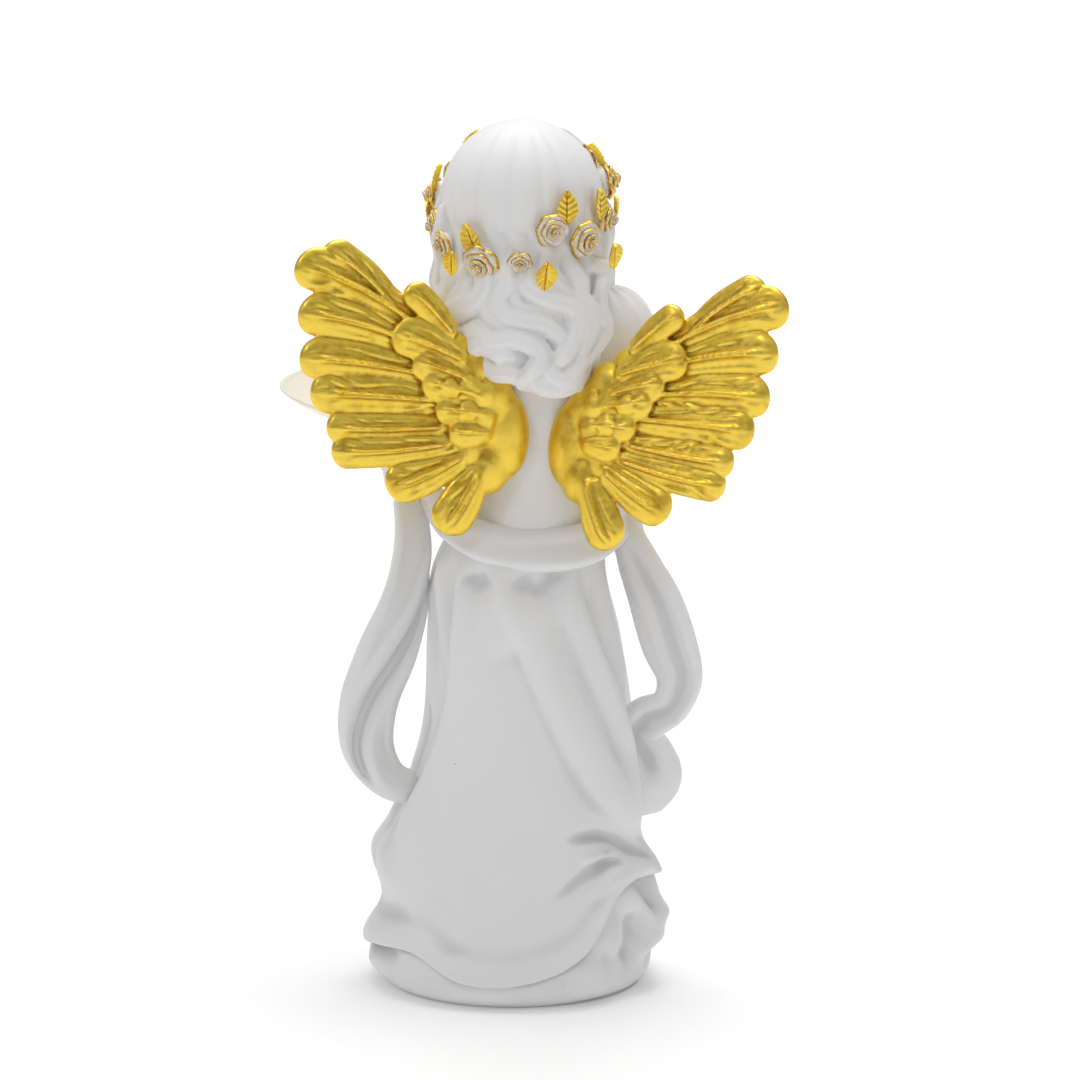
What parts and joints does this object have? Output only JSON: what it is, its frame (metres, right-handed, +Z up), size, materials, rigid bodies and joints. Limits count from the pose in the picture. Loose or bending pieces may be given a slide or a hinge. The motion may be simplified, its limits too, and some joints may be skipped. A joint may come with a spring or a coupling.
{
  "type": "angel figurine",
  "caption": "Standing resin angel seen mainly from behind: long pooled robe, draped stole, gold-painted wings, flower wreath in the hair and an open dish held on one hand.",
  "frame": {"origin": "centre of the felt's underside, where the figurine stands", "axes": "+Z up, the angel faces -Y, +X to the angel's left"},
  "size_m": [0.1473, 0.1074, 0.2499],
  "materials": {
    "white_resin": "matte white paint over cast resin",
    "cream_resin": "satin cream",
    "rose_resin": "white with gold-painted petal edges",
    "gold_paint": "metallic gold paint over cast resin",
    "plug_resin": "bare cast resin",
    "felt": "felt",
    "steel": "drawn wire"
  },
  "bodies": {
    "root": {"robe_casting": "white_resin", "base_plug": "plug_resin", "felt_pad": "felt", "head_casting": "white_resin", "left_arm_casting": "white_resin", "right_arm_casting": "white_resin", "left_wing_casting": "gold_paint", "right_wing_casting": "gold_paint", "left_stole_casting": "white_resin", "right_stole_casting": "white_resin", "stole_pins": "steel", "offering_dish": "cream_resin", "wreath_rose_01": "rose_resin", "wreath_rose_02": "rose_resin", "wreath_rose_03": "rose_resin", "wreath_rose_04": "rose_resin", "wreath_rose_05": "rose_resin", "wreath_rose_06": "rose_resin", "wreath_rose_07": "rose_resin", "wreath_rose_08": "rose_resin", "wreath_rose_09": "rose_resin", "wreath_rose_10": "rose_resin", "wreath_rose_11": "rose_resin", "wreath_rose_12": "rose_resin", "wreath_rose_13": "rose_resin", "wreath_rose_14": "rose_resin", "wreath_leaf_01": "gold_paint", "wreath_leaf_02": "gold_paint", "wreath_leaf_03": "gold_paint", "wreath_leaf_04": "gold_paint", "wreath_leaf_05": "gold_paint", "wreath_leaf_06": "gold_paint", "wreath_leaf_07": "gold_paint", "wreath_leaf_08": "gold_paint", "wreath_leaf_09": "gold_paint", "wreath_leaf_10": "gold_paint", "wreath_leaf_11": "gold_paint", "wreath_leaf_12": "gold_paint", "wreath_leaf_13": "gold_paint", "wreath_leaf_14": "gold_paint"}
  },
  "joints": []
}
